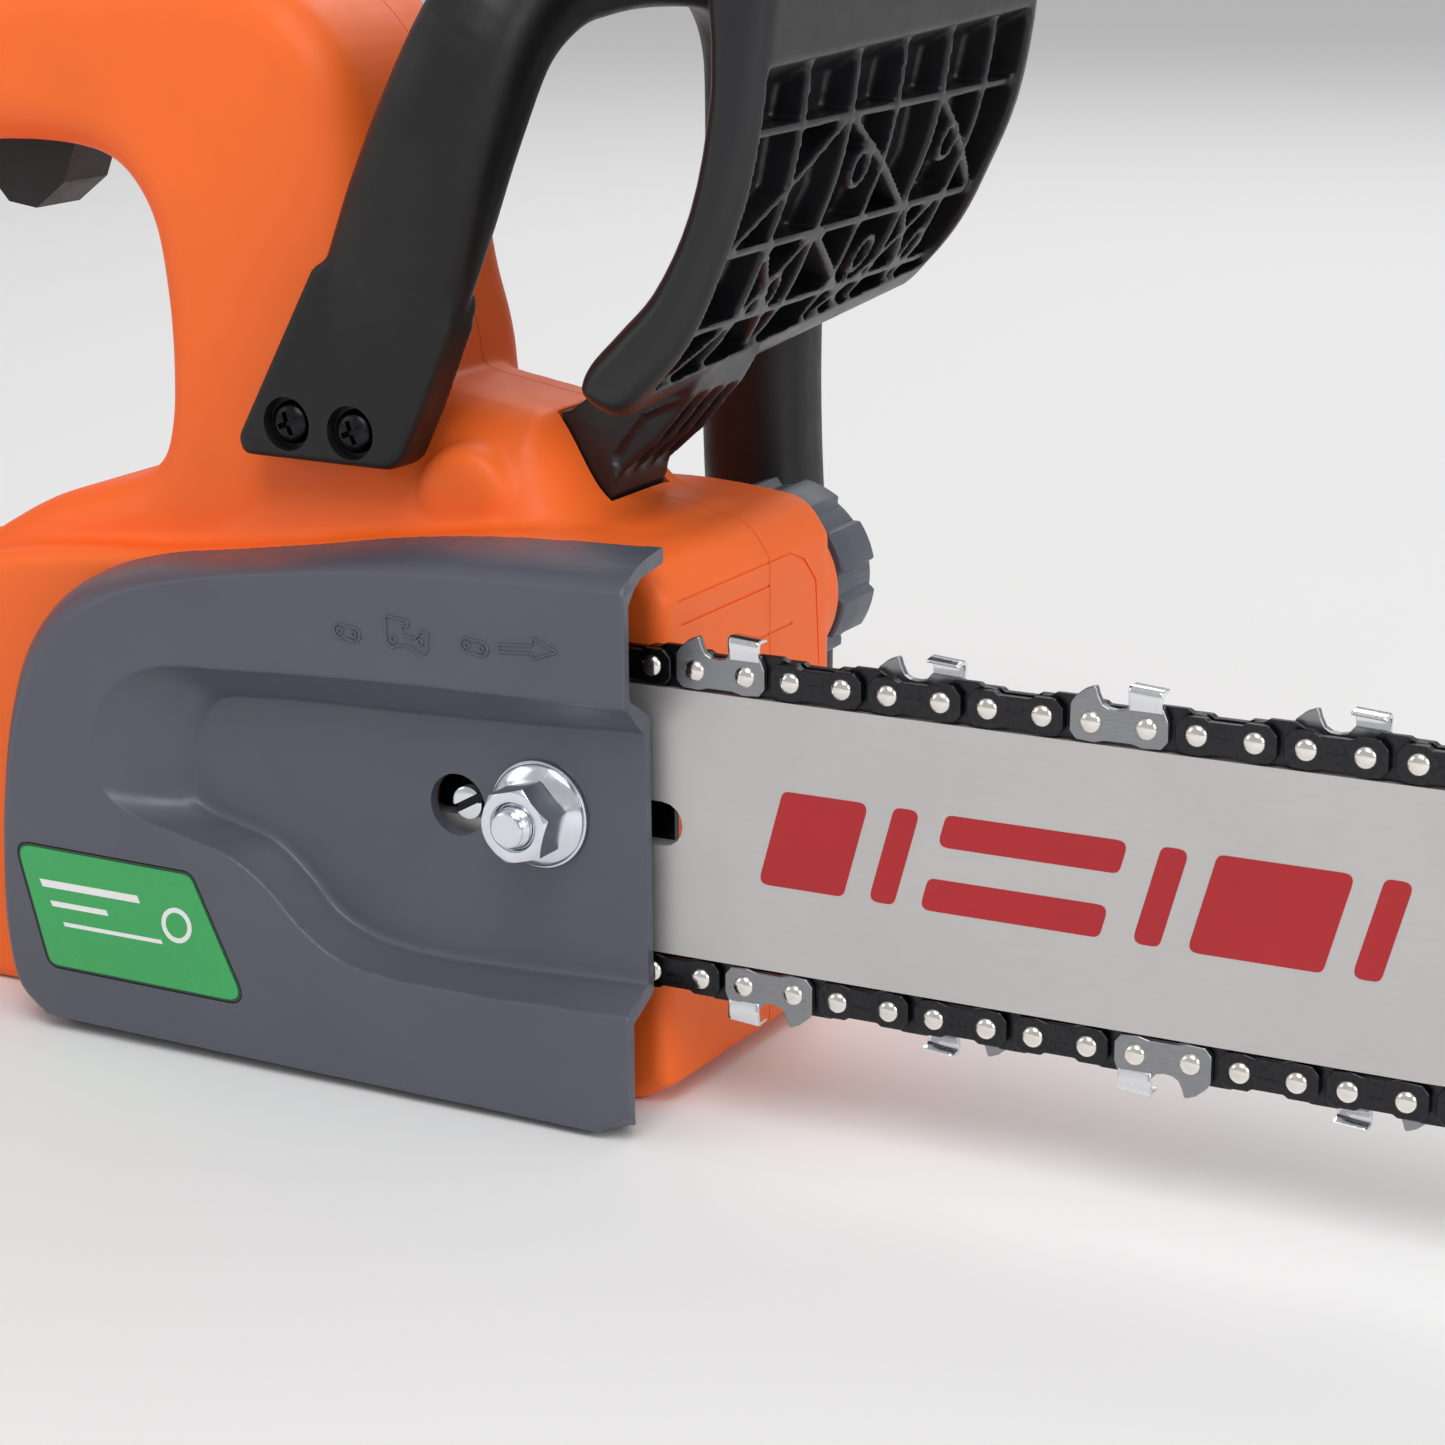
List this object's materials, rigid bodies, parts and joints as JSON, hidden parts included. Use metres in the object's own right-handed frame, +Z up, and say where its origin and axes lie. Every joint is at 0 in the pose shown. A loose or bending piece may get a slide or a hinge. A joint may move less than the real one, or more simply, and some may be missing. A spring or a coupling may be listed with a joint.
{
  "type": "chainsaw",
  "caption": "Cordless rear-handle chainsaw with a guide bar and saw chain, side sprocket cover, wraparound front handle, tilting hand guard and slide-in battery.",
  "frame": {"origin": "point on the flat base of the housing, below the chain drive", "axes": "+X forward along the guide bar, +Y to the operator's left, +Z up"},
  "size_m": [0.5481, 0.1476, 0.2237],
  "materials": {
    "orange_plastic": "satin moulded",
    "grip_rubber": "fine matte texture",
    "cover_plastic": "satin moulded",
    "cap_plastic": "satin moulded",
    "label_film": "printed film",
    "black_plastic": "satin moulded",
    "red_plastic": "satin moulded",
    "bar_steel": "satin ground",
    "chain_steel": "blackened steel",
    "zinc_steel": "bright zinc plated",
    "screw_steel": "black oxide",
    "machined_steel": "machined",
    "motor_can": "zinc grey",
    "tank_plastic": "natural moulded",
    "pump_metal": "die cast",
    "window_plastic": "clear moulded",
    "board_laminate": "coated laminate"
  },
  "bodies": {
    "chassis": {"housing_right": "orange_plastic", "housing_left": "orange_plastic", "grip_overmould": "grip_rubber", "housing_screw_1": "screw_steel", "housing_screw_2": "screw_steel", "housing_screw_3": "screw_steel", "housing_screw_4": "screw_steel", "housing_screw_5": "screw_steel", "housing_screw_6": "screw_steel", "front_handle": "black_plastic", "handle_screw_1": "screw_steel", "handle_screw_2": "screw_steel", "handle_screw_3": "screw_steel", "handle_screw_4": "screw_steel", "chain_drive": "chain_steel", "spindle_bearing_outer": "machined_steel", "spindle_bearing_inner": "machined_steel", "motor": "motor_can", "bar_stud": "zinc_steel", "oil_tank": "tank_plastic", "cap_seal": "grip_rubber", "oil_pump": "pump_metal", "oil_window": "window_plastic", "guard_pivot": "machined_steel", "guard_spring": "machined_steel", "brake_switch": "black_plastic", "trigger_pin": "machined_steel", "trigger_switch": "black_plastic", "trigger_spring": "machined_steel", "terminal_block": "black_plastic", "control_board": "board_laminate"},
    "cover": {"sprocket_cover": "cover_plastic", "cover_label": "label_film"},
    "nut": {"bar_nut": "zinc_steel"},
    "drive": {"drive_sprocket": "machined_steel", "spindle": "machined_steel", "retaining_clip": "screw_steel", "drive_gear": "machined_steel"},
    "rotor": {"motor_shaft": "machined_steel", "motor_fan": "black_plastic"},
    "bar": {"guide_bar": "bar_steel", "chain_top": "chain_steel", "chain_bottom": "chain_steel", "chain_nose": "chain_steel"},
    "nose": {"nose_sprocket": "machined_steel"},
    "tensioner": {"tension_screw": "zinc_steel"},
    "tension_slider": {"tension_pin": "machined_steel"},
    "filler_cap": {"oil_cap": "cap_plastic"},
    "guard": {"hand_guard": "black_plastic"},
    "trigger": {"trigger": "black_plastic"},
    "lock_off": {"lock_off_button": "red_plastic"},
    "battery": {"battery_pack": "black_plastic"},
    "latch": {"battery_latch": "red_plastic"}
  },
  "joints": [
    {"name": "spindle_spin", "type": "hinge", "parent": "chassis", "child": "drive", "pos_m": [-0.0084, -0.0368, 0.0588], "axis": [0, 1, 0], "continuous": true},
    {"name": "motor_spin", "type": "hinge", "parent": "chassis", "child": "rotor", "pos_m": [-0.03612, 0, 0.05347], "axis": [0, 1, 0], "continuous": true},
    {"name": "bar_slide", "type": "slide", "parent": "chassis", "child": "bar", "axis": [1, 0, 0], "range_m": [0, 0.006]},
    {"name": "nose_spin", "type": "hinge", "parent": "bar", "child": "nose", "pos_m": [0.3049, -0.0368, 0.0588], "axis": [0, 1, 0], "continuous": true},
    {"name": "tension_turn", "type": "hinge", "parent": "chassis", "child": "tensioner", "pos_m": [0.0574, -0.036, 0.0574], "axis": [0, -1, 0], "range_deg": [0, 2880]},
    {"name": "tension_pin_slide", "type": "slide", "parent": "chassis", "child": "tension_slider", "axis": [1, 0, 0], "range_m": [0, 0.006]},
    {"name": "cover_lift_off", "type": "slide", "parent": "chassis", "child": "cover", "axis": [0, -1, 0], "range_m": [0, 0.05]},
    {"name": "bar_nut_turn", "type": "hinge", "parent": "cover", "child": "nut", "pos_m": [0.0746, -0.047, 0.0583], "axis": [0, -1, 0], "continuous": true},
    {"name": "guard_tilt", "type": "hinge", "parent": "chassis", "child": "guard", "pos_m": [0.0585, 0.0053, 0.1146], "axis": [0, 1, 0], "range_deg": [0, 12]},
    {"name": "trigger_pull", "type": "hinge", "parent": "chassis", "child": "trigger", "pos_m": [-0.05, 0.002, 0.183], "axis": [0, 1, 0], "range_deg": [0, 6], "stiffness_Nm_per_rad": 1, "springref_deg": -5.73, "deforming": ["trigger_spring"]},
    {"name": "lock_off_press", "type": "slide", "parent": "chassis", "child": "lock_off", "axis": [0, -1, 0], "range_m": [0, 0.003], "stiffness_N_per_m": 600, "springref_m": -0.002},
    {"name": "filler_cap_turn", "type": "hinge", "parent": "chassis", "child": "filler_cap", "pos_m": [0.0765, 0.048, 0.0848], "axis": [0, 1, 0], "range_deg": [0, 450]},
    {"name": "battery_slide", "type": "slide", "parent": "chassis", "child": "battery", "axis": [-1, 0, 0], "range_m": [0, 0.1]},
    {"name": "latch_press", "type": "slide", "parent": "battery", "child": "latch", "axis": [0, 0, -1], "range_m": [0, 0.003], "stiffness_N_per_m": 700, "springref_m": -0.002}
  ],
  "couplings": [
    {"joint": "motor_spin", "follows": "spindle_spin", "ratio": -4},
    {"joint": "nose_spin", "follows": "spindle_spin", "ratio": 0.75},
    {"joint": "tension_turn", "follows": "bar_slide", "rad_per_m": 8377.6},
    {"joint": "tension_pin_slide", "follows": "bar_slide", "ratio": 1}
  ]
}
